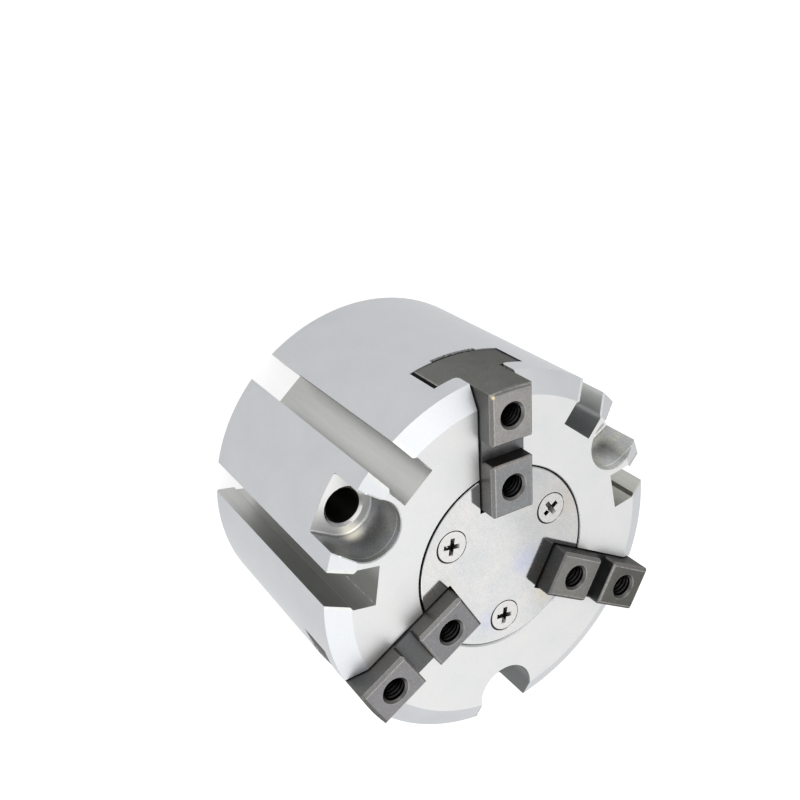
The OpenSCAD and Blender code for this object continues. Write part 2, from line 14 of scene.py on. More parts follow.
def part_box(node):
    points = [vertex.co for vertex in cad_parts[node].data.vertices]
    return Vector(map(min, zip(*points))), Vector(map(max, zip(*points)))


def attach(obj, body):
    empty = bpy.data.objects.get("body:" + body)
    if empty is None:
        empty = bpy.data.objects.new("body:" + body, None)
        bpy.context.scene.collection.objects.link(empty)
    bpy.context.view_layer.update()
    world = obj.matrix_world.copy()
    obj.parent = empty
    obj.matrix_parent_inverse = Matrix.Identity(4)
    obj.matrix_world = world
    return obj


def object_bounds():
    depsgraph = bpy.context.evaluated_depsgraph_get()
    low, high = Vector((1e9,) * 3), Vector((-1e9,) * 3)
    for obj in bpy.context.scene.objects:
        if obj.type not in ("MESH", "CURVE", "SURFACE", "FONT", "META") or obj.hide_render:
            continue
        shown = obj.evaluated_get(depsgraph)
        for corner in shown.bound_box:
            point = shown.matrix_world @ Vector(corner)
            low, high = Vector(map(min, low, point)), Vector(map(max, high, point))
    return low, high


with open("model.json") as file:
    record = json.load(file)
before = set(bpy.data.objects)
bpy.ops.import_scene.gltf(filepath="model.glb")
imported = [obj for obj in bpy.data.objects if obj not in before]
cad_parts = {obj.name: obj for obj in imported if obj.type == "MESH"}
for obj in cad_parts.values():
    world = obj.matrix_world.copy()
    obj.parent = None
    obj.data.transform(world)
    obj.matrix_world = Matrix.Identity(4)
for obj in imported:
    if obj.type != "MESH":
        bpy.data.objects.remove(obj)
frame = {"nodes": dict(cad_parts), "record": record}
packed_low, packed_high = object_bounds()

MM = 0.001
NODES = frame["nodes"]
MOUNTS = {mount["name"]: mount for mount in frame["record"]["mounts"]}

JAW_ANGLES = {"jaw_a": 90, "jaw_b": 210, "jaw_c": 330}
BOLT_ANGLES = (30, 150, 270)
BOLT_CIRCLE = MOUNTS["mounting_bolts"]["dims"]["pcd_mm"] / 2 * MM
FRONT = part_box("cover_plate")[1].z
JAW_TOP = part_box("jaw_a")[1].z
BODY_RADIUS = packed_high.x
PLATE_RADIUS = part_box("cover_plate")[1].x
POCKET_RADIUS = 5.5 * MM
POCKET_FLOOR = FRONT - 9.8 * MM
BOLT_RADIUS = MOUNTS["mounting_bolts"]["dims"]["hole_r_mm"] * MM
GROOVE_ANGLES = (10, 50, 130, 170)
GROOVE_FLOOR = 26.1 * MM
GROOVE_MOUTH = 30.2 * MM  # from here outwards a groove narrows to its mouth
GROOVE_HALF = 3.7 * MM
SCREW_CIRCLE = 12.5 * MM
SCREW_RADIUS = 3 * MM
JAW_HALF = 4.4 * MM
JAW_CHAMFER = 0.6 * MM
JAW_HOLES = (16 * MM, 29.6 * MM)
HOLE_RADIUS = 2.1 * MM
KEY_MIDDLE = 22.85 * MM
KEY_WIDTH = 3.7 * MM
FLANGE_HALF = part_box("jaw_a")[1].x
JAW_INNER = 11 * MM
STEM_SLOT = 9.3 * MM
UNDER_SLOTS = 30 * MM  # the jaw slots lie above this height
CORE = 20 * MM  # grooves, slots and ports are marked only beyond this distance from the axis
HAIR = 0.02 * MM  # marks stop this far off the next face


# Node trees ---------------------------------------------------------------------------

class Finish:
    """A material with short names for the nodes that it is built from."""

    def __init__(self, name, **plain):
        self.material = bpy.data.materials.new(name)
        self.material.use_nodes = True
        self.tree = self.material.node_tree
        self.shader = self.tree.nodes["Principled BSDF"]
        for socket, value in plain.items():
            self.shader.inputs[socket.replace("_", " ")].default_value = value
        self.place = self.tree.nodes.new("ShaderNodeTexCoord").outputs["Object"]

    def node(self, kind, inputs=(), **settings):
        """Adds a node; inputs are given in order, as numbers, colours or other nodes' outputs."""
        made = self.tree.nodes.new("ShaderNode" + kind)
        for name, value in settings.items():
            setattr(made, name, value)
        for i, value in enumerate(inputs):
            if value is not None:
                self.join(value, made.inputs[i])
        return made

    def join(self, value, socket):
        """Links an output to a socket, or sets the socket to a plain value."""
        if isinstance(value, bpy.types.NodeSocket):
            self.tree.links.new(value, socket)
        else:
            socket.default_value = value

    def math(self, operation, a, b=None):
        """Number worked out from one or two others."""
        return self.node("Math", (a, b), operation=operation).outputs[0]

    def minus(self, a, b):
        """Difference of two numbers."""
        return self.math("SUBTRACT", a, b)

    def above(self, value, limit):
        """1 where value is above the limit, else 0."""
        return self.math("GREATER_THAN", value, limit)

    def below(self, value, limit):
        """1 where value is below the limit, else 0."""
        return self.math("LESS_THAN", value, limit)

    def fold(self, operation, values):
        """One number worked out from a list of them, the operation taking two at a time."""
        made = values[0]
        for value in values[1:]:
            made = self.math(operation, made, value)
        return made

    def product(self, *values):
        """Product of numbers; of masks, 1 where all of them hold."""
        return self.fold("MULTIPLY", values)

    def highest(self, *values):
        """Highest of some numbers; of masks, 1 where any of them holds."""
        return self.fold("MAXIMUM", values)

    def vector(self, operation, a, b=None):
        """Vector worked out from one or two others."""
        return self.node("VectorMath", (a, b), operation=operation).outputs[0]

    def length(self, a):
        """Length of a vector."""
        return self.node("VectorMath", (a,), operation="LENGTH").outputs["Value"]

    def away(self, point, vector=None):
        """Distance from a point."""
        return self.length(self.vector("SUBTRACT", vector or self.place, point))

    def parts(self, a):
        """The x, y and z of a vector."""
        return self.node("SeparateXYZ", (a,)).outputs

    def turned(self, angle):
        """Coordinates turned back about the Z axis, so that X runs in the direction of the angle."""
        made = self.node("Mapping", (self.place,), vector_type="TEXTURE")
        made.inputs["Rotation"].default_value = (0, 0, math.radians(angle))
        return made.outputs[0]

    def radius(self):
        """Distance from the Z axis."""
        return self.length(self.scaled((1, 1, 0)))

    def hypot(self, a, b):
        """Root of the sum of two squares."""
        squares = self.math("ADD", self.math("POWER", a, 2.0), self.math("POWER", b, 2.0))
        return self.math("SQRT", squares)

    def around(self, x, y, radius):
        """Distance from the upright axis that crosses X at the radius."""
        return self.hypot(self.minus(x, radius), y)

    def band(self, value, centre, half):
        """1 where value lies within half of centre."""
        return self.below(self.math("ABSOLUTE", self.minus(value, centre)), half)

    def line(self, value, centre, half):
        """1 on the line value = centre, fading to 0 at half on either side."""
        away = self.math("ABSOLUTE", self.minus(value, centre))
        return self.remap(away, half, half * 0.3, smooth=True)

    def scaled(self, factors, vector=None):
        """Coordinates multiplied by three factors."""
        return self.vector("MULTIPLY", vector or self.place, factors)

    def noise(self, size, detail=2.0, vector=None, rough=0.5):
        """Cloudy number from 0 to 1 whose lumps are about size metres across."""
        made = self.node("TexNoise", (vector or self.place,))
        made.inputs["Scale"].default_value = 1 / size
        made.inputs["Detail"].default_value = detail
        made.inputs["Roughness"].default_value = rough
        return made.outputs["Fac"]

    def remap(self, value, low, high, to_low=0.0, to_high=1.0, smooth=False):
        """Carries value from the range low..high to to_low..to_high, held at its ends."""
        made = self.node("MapRange", (value, low, high, to_low, to_high))
        made.interpolation_type = "SMOOTHSTEP" if smooth else "LINEAR"
        return made.outputs[0]

    def blend(self, factor, a, b, kind="MIX"):
        """Colour between a and b."""
        made = self.node("Mix", data_type="RGBA", blend_type=kind)
        for value, socket in zip((factor, a, b), (made.inputs[0], made.inputs[6], made.inputs[7])):
            self.join(value, socket)
        return made.outputs[2]

    def tint(self, colour, by, where=1.0):
        """Colour multiplied by another, as far as the mask says."""
        return self.blend(where, colour, by, "MULTIPLY")

    def between(self, factor, a, b):
        """Number between a and b."""
        made = self.node("Mix", (factor,))
        self.join(a, made.inputs[2])
        self.join(b, made.inputs[3])
        return made.outputs[0]

    def bump(self, height, depth):
        """Normal of a surface whose height of 0 to 1 stands for depth metres."""
        made = self.node("Bump")
        made.inputs["Distance"].default_value = depth
        self.join(height, made.inputs["Height"])
        return made.outputs[0]

    def wear(self, colour, roughness, normal):
        """The material, with the worked-out colour, roughness and normal joined to its shader."""
        for value, socket in ((colour, "Base Color"), (roughness, "Roughness"), (normal, "Normal")):
            self.join(value, self.shader.inputs[socket])
        return self.material


# Finishes -----------------------------------------------------------------------------

def grey(value, warmth=0.0):
    """Grey of the given brightness; warmth above 0 leans to yellow, below 0 to blue."""
    return (value * (1 + warmth), value, value * (1 - warmth), 1)


def bolt_pockets(f):
    """Mask of the three bolt pockets with their holes, and distance from the nearest bolt's axis;
    past that axis the pocket is open, so the distance counts only across the opening."""
    reach = POCKET_RADIUS + 0.22 * MM
    inside = []
    distances = []
    for angle in BOLT_ANGLES:
        x, y, z = f.parts(f.turned(angle))
        out = f.minus(x, BOLT_CIRCLE)
        across = f.hypot(f.math("MINIMUM", out, 0.0), y)
        inside.append(f.product(f.below(across, reach), f.above(x, BOLT_CIRCLE - reach)))
        distances.append(f.hypot(out, y))
    nearest = f.fold("MINIMUM", distances)
    z = f.parts(f.place)[2]
    in_hole = f.product(f.below(nearest, BOLT_RADIUS + 0.05 * MM), f.above(z, HAIR))
    in_depth = f.highest(f.above(z, POCKET_FLOOR - 0.6 * MM), in_hole)
    off_skin = f.product(f.below(f.radius(), BODY_RADIUS - 0.1 * MM), f.below(z, FRONT - HAIR))
    return f.product(f.highest(*inside), in_depth, off_skin), nearest


def milled_wall(f, speck, low_pocket_shade):
    """Colour of the pockets' walls: cloudy and speckled, with painted warm light in the pocket at 30
    degrees, painted shade where its mask says, and a painted warm sheen low in the pocket at 150 degrees."""
    x, y, z = f.parts(f.place)
    cloud = f.noise(2.6 * MM, 3)
    colour = f.blend(f.remap(cloud, 0.35, 0.65), (0.40, 0.415, 0.44, 1), (0.47, 0.475, 0.45, 1))
    colour = f.tint(colour, grey(0.62), f.remap(speck, 0.3, 0.7))
    # painted warm light in the pocket at 30 degrees
    warm_light = f.product(f.above(x, 10 * MM), f.above(y, 0.0))
    colour = f.tint(colour, (1.24, 1.22, 1.17, 1), warm_light)
    # painted shade: a dark speckled colour where the mask says
    colour = f.blend(low_pocket_shade, colour, f.blend(speck, (0.098, 0.104, 0.105, 1), (0.128, 0.134, 0.135, 1)))
    # painted warm sheen low in the pocket at 150 degrees
    away = f.away((-25.0 * MM, 9.6 * MM, POCKET_FLOOR + 1.0 * MM))
    painted_sheen = f.remap(away, 2.9 * MM, 0.3 * MM, smooth=True)
    return f.blend(painted_sheen, colour, (0.94, 0.91, 0.79, 1))


def milled_pocket(f, away):
    """Colour of the bolt pockets, and the mask of the burnished ring round their holes: wall and
    floor, a bright tool line on the wall, a painted highlight along its foot, and painted shade in the
    hole."""
    x, y, z = f.parts(f.place)
    speck = f.noise(0.22 * MM, 2)
    # painted shade over the +X half of the pocket at 270 degrees
    low_pocket_shade = f.product(f.remap(x, -2.5 * MM, 0.5 * MM), f.below(y, -20 * MM))
    colour = milled_wall(f, speck, low_pocket_shade)
    floor = f.below(z, POCKET_FLOOR + 0.04 * MM)
    floor_colour = f.blend(f.remap(speck, 0.3, 0.7), grey(0.53, 0.012), grey(0.60, 0.012))
    colour = f.blend(floor, colour, floor_colour)
    # painted highlight along the foot of the wall
    foot_highlight = f.product(f.line(z, POCKET_FLOOR, 0.07 * MM), 0.6)
    tool_line_and_highlight = f.highest(f.line(z, FRONT - 1.4 * MM, 0.12 * MM), foot_highlight)
    tool_line_and_highlight = f.product(tool_line_and_highlight, f.minus(1.0, low_pocket_shade), 0.9)
    ring = f.product(f.line(away, BOLT_RADIUS + 0.35 * MM, 0.4 * MM), floor)
    colour = f.blend(f.highest(tool_line_and_highlight, ring), colour, grey(0.74, 0.01))
    # painted shade inside the bolt holes
    hole = f.below(z, POCKET_FLOOR - 0.56 * MM)
    return f.blend(hole, colour, grey(0.14, 0.05)), ring


def switch_grooves(f):
    """Mask of the four switch grooves, and of the fine painted highlight lines along their floor corners.
    """
    inside = []
    corner_highlight_lines = []
    for angle in GROOVE_ANGLES:
        x, y, z = f.parts(f.turned(angle))
        inside.append(f.product(f.above(x, CORE), f.band(y, 0.0, GROOVE_HALF + HAIR)))
        beside = f.minus(f.math("ABSOLUTE", y), GROOVE_HALF)
        corner_highlight_lines.append(f.line(f.hypot(f.minus(x, GROOVE_FLOOR), beside), 0.0, 0.16 * MM))
    off_skin = f.product(f.below(f.radius(), BODY_RADIUS - 0.06 * MM),
                         f.band(f.parts(f.place)[2], FRONT / 2, FRONT / 2 - HAIR),
                         f.above(f.radius(), GROOVE_FLOOR - HAIR))
    return f.product(f.highest(*inside), off_skin), f.product(f.highest(*corner_highlight_lines), off_skin)


def drawn_groove(f, grain):
    """Colour of the switch grooves: streaks along the axis; on the side toward +X, painted shade, darker
    and browner, in the groove at 10 degrees and painted light at the mouth of the one at 50 degrees."""
    x, y, z = f.parts(f.place)
    streak = f.noise(0.9 * MM, 3, f.scaled((1, 1, 0.06)))
    colour = f.blend(f.remap(streak, 0.3, 0.7), (0.505, 0.51, 0.49, 1), (0.545, 0.55, 0.54, 1))
    colour = f.tint(colour, grey(0.90), f.remap(grain, 0.3, 0.7))
    mouth = f.above(f.radius(), GROOVE_MOUTH)
    # painted light at the groove mouths and painted shade in the groove at 10 degrees, on the +X side
    groove_light_and_shade = f.blend(mouth, (1.0, 1.02, 1.06, 1), (1.28, 1.29, 1.31, 1))
    groove_light_and_shade = f.blend(f.remap(y, 9 * MM, 16 * MM), (0.83, 0.82, 0.79, 1), groove_light_and_shade)
    return f.tint(colour, groove_light_and_shade, f.above(x, 0.0))


def air_ports(f):
    """Mask of the two air ports, below their rims."""
    inside = []
    for name in ("air_port_open", "air_port_close"):
        mount = MOUNTS[name]
        port_x, port_y, port_z = mount["pos_m"]
        x, y, z = f.parts(f.turned(math.degrees(math.atan2(port_y, port_x))))
        away = f.hypot(y, f.minus(z, port_z))
        radius = mount["dims"]["r_mm"] * MM + 0.05 * MM
        inside.append(f.product(f.below(away, radius), f.above(x, CORE)))
    return f.product(f.highest(*inside), f.below(f.radius(), BODY_RADIUS - 0.4 * MM))


def torn_slots(f):
    """Colour of the three jaw slots, torn by the cutter, with painted shade away from the rim, and their
    mask.
    """
    inside = []
    for angle in JAW_ANGLES.values():
        x, y, z = f.parts(f.turned(angle))
        inside.append(f.product(f.above(x, CORE), f.band(y, 0.0, STEM_SLOT / 2 + HAIR)))
    slots = f.product(f.highest(*inside), f.above(f.parts(f.place)[2], UNDER_SLOTS),
                      f.below(f.radius(), BODY_RADIUS - 0.03 * MM))
    torn = f.remap(f.noise(0.25 * MM, 3, rough=0.7), 0.42, 0.58)
    colour = f.blend(torn, grey(0.10, -0.03), grey(0.72, -0.03))
    # painted shade under the jaw flanges, away from the rim
    slot_shade = f.remap(f.radius(), BODY_RADIUS - 0.32 * MM, BODY_RADIUS - 0.5 * MM)
    return f.tint(colour, grey(0.16), slot_shade), slots


def plate_seat(f):
    """Colour of the recess that the cover plate lies in: painted shade, with painted light toward -Y; and
    its mask.
    """
    x, y, z = f.parts(f.place)
    seat = f.product(f.below(f.radius(), PLATE_RADIUS + 0.3 * MM), f.below(z, FRONT - 0.12 * MM),
                     f.above(z, FRONT - 3 * MM))
    # painted shade in the gap round the plate, lighter toward -Y
    return f.blend(f.remap(y, -14 * MM, -6 * MM), grey(0.45), grey(0.05)), seat


def anodised_skin(f, cloud, grain):
    """Colour of the body's outside: faint clouds and a fine grain, the flank cooler than the face."""
    colour = f.blend(f.remap(cloud, 0.3, 0.7), grey(0.53, -0.012), grey(0.565, 0.0))
    face = f.above(f.parts(f.place)[2], FRONT - HAIR)
    colour = f.tint(colour, f.blend(face, (0.975, 0.99, 1.015, 1), (1.0, 1.0, 0.99, 1)))
    return f.tint(colour, grey(0.92), f.remap(grain, 0.3, 0.7))


def body_finish():
    """Satin hard anodised aluminium, with milled bolt pockets, drawn grooves and torn jaw slots."""
    f = Finish("satin_anodised", Metallic=1.0)
    cloud = f.noise(7 * MM, 4)
    grain = f.noise(0.17 * MM, 2)
    colour = anodised_skin(f, cloud, grain)
    grooves, corner_highlight_lines = switch_grooves(f)
    colour = f.blend(grooves, colour, drawn_groove(f, grain))
    # painted highlight along the grooves' floor corners, broken up by noise
    corner_highlights = f.product(corner_highlight_lines, f.remap(f.noise(1.5 * MM), 0.4, 0.6))
    colour = f.blend(corner_highlights, colour, grey(0.95))
    pockets, away = bolt_pockets(f)
    milled, ring = milled_pocket(f, away)
    colour = f.blend(pockets, colour, milled)
    torn, slots = torn_slots(f)
    colour = f.blend(slots, colour, torn)
    seat_shade, seat = plate_seat(f)
    colour = f.blend(seat, colour, seat_shade)
    # painted shade inside the air ports
    colour = f.blend(air_ports(f), colour, grey(0.08))
    roughness = f.between(grooves, f.remap(cloud, 0.3, 0.7, 0.43, 0.49), 0.34)
    roughness = f.between(pockets, roughness, f.between(ring, 0.40, 0.22))
    f.join(f.between(slots, 1.0, 0.35), f.shader.inputs["Metallic"])
    height = f.between(pockets, grain, f.noise(0.25 * MM, 2, f.scaled((1, 1, 0.3))))
    return f.wear(colour, roughness, f.bump(height, 0.012 * MM))


def stain(f, colour, x, y, reach, tint):
    """Colour with a soft cloudy spot about (x, y) on the plate, in millimetres."""
    away = f.away((x * MM, y * MM, 0.0), f.scaled((1, 1, 0)))
    cloudy = f.product(f.noise(2.5 * MM, 3), 0.9 * reach * MM)
    edge = f.math("ADD", away, cloudy)
    return f.tint(colour, tint, f.remap(edge, reach * MM * 1.6, reach * MM * 0.6, smooth=True))


def rim_shadow_line(f):
    """1 on the painted shadow line inside the plate's rim, widest toward 165 degrees and none opposite."""
    toward = f.parts(f.turned(165))[0]
    width = f.remap(toward, 0.3 * PLATE_RADIUS, 0.9 * PLATE_RADIUS, 0.0, 0.13 * MM)
    return f.above(f.radius(), f.minus(PLATE_RADIUS, width))


def screw_seats(f):
    """1 in the plate's three countersinks, just below its face."""
    inside = []
    for angle in BOLT_ANGLES:
        x, y, z = f.parts(f.turned(angle))
        away = f.around(x, y, SCREW_CIRCLE)
        inside.append(f.product(f.below(away, SCREW_RADIUS + 0.25 * MM), f.below(z, FRONT - 0.04 * MM)))
    return f.highest(*inside)


def plate_finish():
    """Ground stainless steel: a sandy grain, faint bluish and brownish stains, a painted shadow line inside
    the rim and painted shade in the countersinks."""
    f = Finish("ground_steel", Metallic=1.0)
    cloud = f.noise(6 * MM, 4, rough=0.6)
    colour = f.blend(f.remap(cloud, 0.35, 0.65), grey(0.455, -0.01), grey(0.49, 0.012))
    colour = stain(f, colour, 5.0, -2.2, 3.5, (0.88, 0.91, 1.06, 1))
    colour = stain(f, colour, -3.7, -12.2, 3.2, (0.92, 0.94, 1.04, 1))
    colour = stain(f, colour, 9.4, -10.9, 3.0, (1.03, 0.98, 0.86, 1))
    colour = stain(f, colour, 14.0, 7.0, 5.0, (0.97, 0.94, 0.90, 1))
    colour = stain(f, colour, -13.0, -2.0, 3.5, (0.95, 0.94, 0.89, 1))
    sand = f.noise(0.30 * MM, 3, rough=0.7)
    colour = f.tint(colour, grey(0.84), f.remap(sand, 0.3, 0.7))
    marks = f.noise(0.5 * MM, 3, f.scaled((1, 0.2, 1), f.turned(28)))
    colour = f.tint(colour, grey(0.95), f.remap(marks, 0.4, 0.7))
    # painted shadow line inside the plate's rim
    colour = f.blend(rim_shadow_line(f), colour, grey(0.02))
    # painted shade in the countersinks round the screw heads
    colour = f.blend(screw_seats(f), colour, grey(0.04))
    return f.wear(colour, f.remap(cloud, 0.3, 0.7, 0.08, 0.12), f.bump(sand, 0.0015 * MM))


def rubbed_edges_and_highlights(f, turned, brow_highlight_level):
    """1 along edges that are partly rubbed bright by handling and partly painted highlights: the block's
    long edges, its keyway's edges, one end of the flange and the top's outer edge; broken up by a fine
    noise."""
    x, y, z = f.parts(turned)
    side = f.math("ABSOLUTE", y)
    inner = f.hypot(f.minus(side, JAW_HALF - JAW_CHAMFER), f.minus(z, JAW_TOP))
    outer = f.hypot(f.minus(side, JAW_HALF), f.minus(z, JAW_TOP - JAW_CHAMFER))
    from_key = f.math("ABSOLUTE", f.minus(x, KEY_MIDDLE))
    key = f.hypot(f.minus(from_key, KEY_WIDTH / 2 + 0.2 * MM), f.minus(z, JAW_TOP))
    # painted highlight along the top's outer edge, its strength set per jaw
    brow = f.product(f.line(f.radius(), BODY_RADIUS - 0.38 * MM, 0.3 * MM),
                     f.above(z, JAW_TOP - 0.45 * MM), brow_highlight_level)
    flange = f.product(f.line(y, FLANGE_HALF - 0.85 * MM, 0.2 * MM),
                       f.above(f.radius(), BODY_RADIUS - 0.5 * MM))
    edges = f.highest(f.line(inner, 0.0, 0.16 * MM), f.product(f.line(outer, 0.0, 0.12 * MM), 0.5),
                      f.line(key, 0.0, 0.32 * MM), flange, brow)
    return f.product(edges, f.remap(f.noise(0.5 * MM, 3, turned), 0.32, 0.58, 0.25, 0.95))


def jaw_skin(f, turned, outside, inner_top, outer_top, side_tone, chamfer_shade_tone):
    """Colour of a jaw's faces: the tops of its two blocks, sides with painted shade toward the body, the
    chamfers beside the tops in a painted shade of their own, a dimmer inner end, and the outer end."""
    x, y, z = f.parts(turned)
    cast = f.remap(f.noise(5 * MM, 2, turned), 0.4, 0.6)
    sides = f.blend(cast, grey(0.150 * side_tone, -0.01), grey(0.145 * side_tone, 0.05))
    # painted shade on the sides, darker toward the body
    side_shade = f.remap(z, FRONT - 0.5 * MM, JAW_TOP)
    sides = f.blend(side_shade, f.tint(sides, grey(0.72)), f.tint(sides, grey(1.18)))
    tops = f.blend(f.remap(x, 18 * MM, 27 * MM), inner_top, outer_top)
    colour = f.blend(f.above(z, JAW_TOP - 0.03 * MM), sides, tops)
    strip = f.product(f.above(f.math("ABSOLUTE", y), JAW_HALF - JAW_CHAMFER + HAIR),
                      f.above(z, JAW_TOP - JAW_CHAMFER + HAIR))
    # painted shade on the chamfers beside the tops
    colour = f.blend(strip, colour, grey(chamfer_shade_tone, 0.02))
    colour = f.tint(colour, grey(0.7), f.below(x, JAW_INNER + 0.05 * MM))
    end_tone = (0.132 * side_tone, 0.134 * side_tone, 0.125 * side_tone, 1)
    return f.blend(outside, colour, end_tone)


def jaw_shadows(f, colour, turned, outside, key_shade):
    """Colour with painted shade: a dimmer keyway, dimmest on its inner wall, and nearly black outer parts
    of the flange's ends.
    """
    x, y, z = f.parts(turned)
    keyway = f.product(f.band(x, KEY_MIDDLE, KEY_WIDTH / 2 + 0.05 * MM), f.below(z, JAW_TOP - 0.5 * MM))
    wall = f.below(x, KEY_MIDDLE - KEY_WIDTH / 2 + 0.05 * MM)
    # painted shade in the keyway
    colour = f.tint(colour, f.blend(wall, grey(key_shade, -0.02), grey(0.30)), keyway)
    ends = f.highest(f.above(y, FLANGE_HALF - 0.7 * MM), f.below(y, 0.12 * MM - FLANGE_HALF))
    # painted shade on the flange's ends by the body's rim
    return f.blend(f.product(outside, ends), colour, grey(0.012))


def jaw_holes(f, colour, lit, turned, blotch):
    """Colour and bright edges with a jaw's two tapped holes added: painted shade, nearly black, inside,
    painted shade on the countersink, and a patchy painted highlight round its edge."""
    x, y, z = f.parts(turned)
    sunk = f.below(z, JAW_TOP - 0.04 * MM)
    for radius in JAW_HOLES:
        away = f.around(x, y, radius)
        countersink = f.product(f.below(away, HOLE_RADIUS + 0.48 * MM), sunk)
        # painted shade on the countersink
        colour = f.tint(colour, grey(0.55), countersink)
        hole = f.product(f.below(away, HOLE_RADIUS + 0.03 * MM), sunk)
        # painted shade inside the hole
        colour = f.blend(hole, colour, grey(0.012))
        edge = f.product(f.line(away, HOLE_RADIUS + 0.5 * MM, 0.09 * MM), f.above(z, JAW_TOP - 0.1 * MM))
        # patchy painted highlight round the countersink's edge
        lit = f.highest(lit, f.product(edge, f.remap(blotch, 0.35, 0.6, 0.1, 0.7)))
    return colour, lit


def jaw_finish(jaw, inner_top, outer_top, side_tone, key_shade, chamfer_shade_tone, brow_highlight_level):
    """Dark oxidised steel with a sandy grain, given the colours of the inner and outer block's top, the
    tone of the sides, the painted shade of the keyway and the chamfers, and the painted highlight on the
    outer edge."""
    f = Finish("oxidised_" + jaw, Metallic=0.9, Specular_Tint=(0.35, 0.35, 0.35, 1))
    turned = f.turned(JAW_ANGLES[jaw])
    blotch = f.noise(2.2 * MM, 4, turned)
    sand = f.noise(0.26 * MM, 3, turned, 0.7)
    outside = f.above(f.radius(), BODY_RADIUS - 0.75 * MM)
    colour = jaw_skin(f, turned, outside, inner_top, outer_top, side_tone, chamfer_shade_tone)
    colour = f.tint(colour, grey(1.16), f.remap(blotch, 0.3, 0.7))
    colour = f.blend(f.remap(sand, 0.3, 0.7), f.tint(colour, grey(1.10)), f.tint(colour, grey(0.74)))
    colour = jaw_shadows(f, colour, turned, outside, key_shade)
    lit = rubbed_edges_and_highlights(f, turned, brow_highlight_level)
    colour, lit = jaw_holes(f, colour, lit, turned, blotch)
    # rubbed wear and painted highlights along the edges and round the holes
    colour = f.blend(lit, colour, grey(0.30, 0.04))
    return f, colour, f.remap(blotch, 0.3, 0.7, 0.32, 0.42), f.bump(sand, 0.007 * MM), turned


def spot(f, turned, x, y, inner, outer):
    """1 between two distances from a point on a jaw's top, all in millimetres."""
    away = f.away((x * MM, y * MM, JAW_TOP), turned)
    return f.line(away, (inner + outer) / 2 * MM, (outer - inner) / 2 * MM)


def jaw_a_finish():
    """Jaw with a brassy rub mark on one corner of its outer block, painted bright as a glint."""
    f, colour, roughness, normal, turned = jaw_finish(
        "jaw_a", inner_top=grey(0.18, -0.02), outer_top=grey(0.22, 0.035),
        side_tone=1.2, key_shade=0.85, chamfer_shade_tone=0.12, brow_highlight_level=1.0)
    patchy = f.remap(f.noise(0.4 * MM, 2, turned), 0.35, 0.65, 0.1, 0.8)
    # brassy rub mark with a painted glint on the outer block's corner
    rub_mark_and_glint = f.product(spot(f, turned, 34.0, 3.9, -0.6, 0.6), patchy)
    return f.wear(f.blend(rub_mark_and_glint, colour, (0.80, 0.66, 0.36, 1)), roughness, normal)


def jaw_b_finish():
    """Jaw with the small ring left by a hardness test on its inner block."""
    f, colour, roughness, normal, turned = jaw_finish(
        "jaw_b", inner_top=(0.163, 0.162, 0.167, 1), outer_top=(0.176, 0.172, 0.176, 1),
        side_tone=0.95, key_shade=0.72, chamfer_shade_tone=0.17, brow_highlight_level=0.2)
    ring = f.product(spot(f, turned, 13.8, -2.2, 0.22, 0.44), 0.6)
    return f.wear(f.blend(ring, colour, grey(0.08)), roughness, normal)


def jaw_c_finish():
    """Darkest of the three jaws."""
    f, colour, roughness, normal, turned = jaw_finish(
        "jaw_c", inner_top=(0.153, 0.151, 0.143, 1), outer_top=(0.085, 0.084, 0.078, 1),
        side_tone=0.84, key_shade=0.72, chamfer_shade_tone=0.16, brow_highlight_level=0.5)
    return f.wear(colour, roughness, normal)


def shaded_cross_recess(f, off):
    """Colour of a screw's cross recess by the distance off to one side of the screw's middle: painted
    shade, paler on the other side, and a painted lit strip."""
    recess_shade = f.blend(f.remap(off, 0.0, -0.6 * MM), grey(0.03, 0.03), grey(0.28, 0.03))
    return f.blend(f.line(off, 0.3 * MM, 0.32 * MM), recess_shade, grey(0.70))


def screw_finish():
    """Bright speckled stainless steel, with painted shade and a painted lit strip in the cross recess, and
    a painted shadow line round the head.
    """
    f = Finish("bright_screw", Metallic=1.0)
    speck = f.noise(0.5 * MM, 3)
    colour = f.blend(f.remap(speck, 0.3, 0.7), grey(0.41, 0.012), grey(0.50, 0.012))
    shade = f.remap(f.minus(FRONT, f.parts(f.place)[2]), 0.05 * MM, 0.45 * MM)
    for angle in BOLT_ANGLES:
        x, y, z = f.parts(f.turned(angle))
        away = f.around(x, y, SCREW_CIRCLE)
        lean = math.radians(200 - angle)
        off = f.math("ADD", f.product(f.minus(x, SCREW_CIRCLE), math.cos(lean)),
                     f.product(y, math.sin(lean)))
        recess = f.product(f.below(away, SCREW_RADIUS - 0.2 * MM), shade)
        # painted shade and a painted lit strip in the cross recess
        colour = f.blend(recess, colour, shaded_cross_recess(f, off))
        width = f.remap(off, 0.2 * SCREW_RADIUS, 0.9 * SCREW_RADIUS, 0.06 * MM, 0.24 * MM)
        # painted shadow line round the head, widest on one side
        head_gap_shadow = f.product(f.below(away, SCREW_RADIUS + 0.2 * MM), f.above(away, f.minus(SCREW_RADIUS, width)))
        colour = f.blend(head_gap_shadow, colour, grey(0.03))
    return f.wear(colour, f.remap(speck, 0.3, 0.7, 0.14, 0.24), f.bump(speck, 0.004 * MM))


